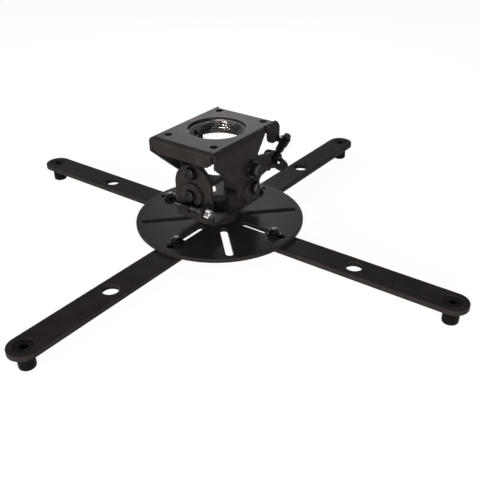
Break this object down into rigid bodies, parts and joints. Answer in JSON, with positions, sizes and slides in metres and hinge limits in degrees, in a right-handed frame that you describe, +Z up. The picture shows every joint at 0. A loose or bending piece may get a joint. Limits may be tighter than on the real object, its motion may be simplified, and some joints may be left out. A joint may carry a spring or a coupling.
{
  "type": "projector ceiling mount",
  "caption": "Black steel projector ceiling mount: a slotted disc with long sliding arms on feet, under a folded tilting and swivelling head with a pipe collar.",
  "frame": {"origin": "on the floor under the middle of the disc, with the mount standing on its feet", "axes": "+Z up through the pipe collar, +X towards the right-hand arm, +Y towards the back arm"},
  "size_m": [0.4714, 0.4714, 0.108],
  "materials": {
    "black_steel": "satin powder coat",
    "dark_hardware": "black oxide",
    "bright_steel": "machined",
    "black_nylon": "moulded"
  },
  "bodies": {
    "disc": {"adapter_disc": "black_steel", "swivel_spacer": "black_steel", "swivel_bolt": "dark_hardware", "swivel_nut": "dark_hardware"},
    "base": {"base_bracket": "black_steel"},
    "knuckle": {"knuckle": "black_steel", "pitch_lever": "black_steel", "pitch_pivot_bolts": "dark_hardware", "pitch_pivot_washers": "dark_hardware", "pitch_pivot_nuts": "dark_hardware", "pitch_lock_bolts": "dark_hardware", "pitch_lock_washer": "dark_hardware", "pitch_lock_nuts": "dark_hardware", "roll_pivot_bolts": "dark_hardware", "roll_pivot_washers": "dark_hardware", "roll_pivot_nuts": "dark_hardware", "roll_lock_plates": "black_steel", "roll_lock_bolts": "dark_hardware", "roll_lock_nuts": "dark_hardware"},
    "head": {"top_bracket": "black_steel", "threaded_collar": "bright_steel", "collar_set_screw": "dark_hardware", "roll_lug": "dark_hardware"},
    "pitch_screw": {"pitch_screw": "bright_steel"},
    "pitch_nut": {"pitch_nut": "dark_hardware"},
    "roll_screw": {"roll_screw": "dark_hardware"},
    "roll_nuts": {"roll_nuts": "dark_hardware"},
    "clamp_right": {"clamp_bolt_right": "dark_hardware", "clamp_washer_right": "dark_hardware", "clamp_nut_right": "dark_hardware"},
    "arm_right": {"arm_right": "black_steel", "foot_bush_right": "dark_hardware", "foot_spacer_right": "black_nylon"},
    "clamp_back": {"clamp_bolt_back": "dark_hardware", "clamp_washer_back": "dark_hardware", "clamp_nut_back": "dark_hardware"},
    "arm_back": {"arm_back": "black_steel", "foot_bush_back": "dark_hardware", "foot_spacer_back": "black_nylon"},
    "clamp_left": {"clamp_bolt_left": "dark_hardware", "clamp_washer_left": "dark_hardware", "clamp_nut_left": "dark_hardware"},
    "arm_left": {"arm_left": "black_steel", "foot_bush_left": "dark_hardware", "foot_spacer_left": "black_nylon"},
    "clamp_front": {"clamp_bolt_front": "dark_hardware", "clamp_washer_front": "dark_hardware", "clamp_nut_front": "dark_hardware"},
    "arm_front": {"arm_front": "black_steel", "foot_bush_front": "dark_hardware", "foot_spacer_front": "black_nylon"}
  },
  "joints": [
    {"name": "clamp_slide_right", "type": "slide", "parent": "disc", "child": "clamp_right", "axis": [1, 0, 0], "range_m": [-0.032, 0.007]},
    {"name": "arm_swivel_right", "type": "hinge", "parent": "clamp_right", "child": "arm_right", "pos_m": [0.06, 0, 0.019], "axis": [0, 0, 1], "range_deg": [-40, 40]},
    {"name": "clamp_slide_back", "type": "slide", "parent": "disc", "child": "clamp_back", "axis": [0, 1, 0], "range_m": [-0.032, 0.007]},
    {"name": "arm_swivel_back", "type": "hinge", "parent": "clamp_back", "child": "arm_back", "pos_m": [0, 0.06, 0.019], "axis": [0, 0, 1], "range_deg": [-40, 40]},
    {"name": "clamp_slide_left", "type": "slide", "parent": "disc", "child": "clamp_left", "axis": [-1, 0, 0], "range_m": [-0.032, 0.007]},
    {"name": "arm_swivel_left", "type": "hinge", "parent": "clamp_left", "child": "arm_left", "pos_m": [-0.06, 0, 0.019], "axis": [0, 0, 1], "range_deg": [-40, 40]},
    {"name": "clamp_slide_front", "type": "slide", "parent": "disc", "child": "clamp_front", "axis": [0, -1, 0], "range_m": [-0.032, 0.007]},
    {"name": "arm_swivel_front", "type": "hinge", "parent": "clamp_front", "child": "arm_front", "pos_m": [0, -0.06, 0.019], "axis": [0, 0, 1], "range_deg": [-40, 40]},
    {"name": "yaw", "type": "hinge", "parent": "disc", "child": "base", "pos_m": [0, 0, 0.0315], "axis": [0, 0, 1], "continuous": true},
    {"name": "pitch", "type": "hinge", "parent": "base", "child": "knuckle", "pos_m": [0, 0, 0.079], "axis": [0, 1, 0], "range_deg": [-15, 15]},
    {"name": "roll", "type": "hinge", "parent": "knuckle", "child": "head", "pos_m": [0, 0, 0.079], "axis": [1, 0, 0], "range_deg": [-8, 8]},
    {"name": "pitch_screw_turn", "type": "hinge", "parent": "base", "child": "pitch_screw", "pos_m": [0, -0.0435, 0.0505], "axis": [1, 0, 0], "continuous": true},
    {"name": "pitch_nut_slide", "type": "slide", "parent": "base", "child": "pitch_nut", "axis": [1, 0, 0], "range_m": [-0.0079, 0.0079]},
    {"name": "roll_screw_turn", "type": "hinge", "parent": "head", "child": "roll_screw", "pos_m": [0.0415, 0.0425, 0.091], "axis": [0.4886, 0, 0.8725], "continuous": true},
    {"name": "roll_nut_slide", "type": "slide", "parent": "head", "child": "roll_nuts", "axis": [0.4886, 0, 0.8725], "range_m": [-0.0053, 0.0053]}
  ],
  "couplings": [
    {"joint": "pitch_nut_slide", "follows": "pitch", "m_per_rad": -0.0292},
    {"joint": "roll_nut_slide", "follows": "roll", "m_per_rad": -0.0371}
  ]
}
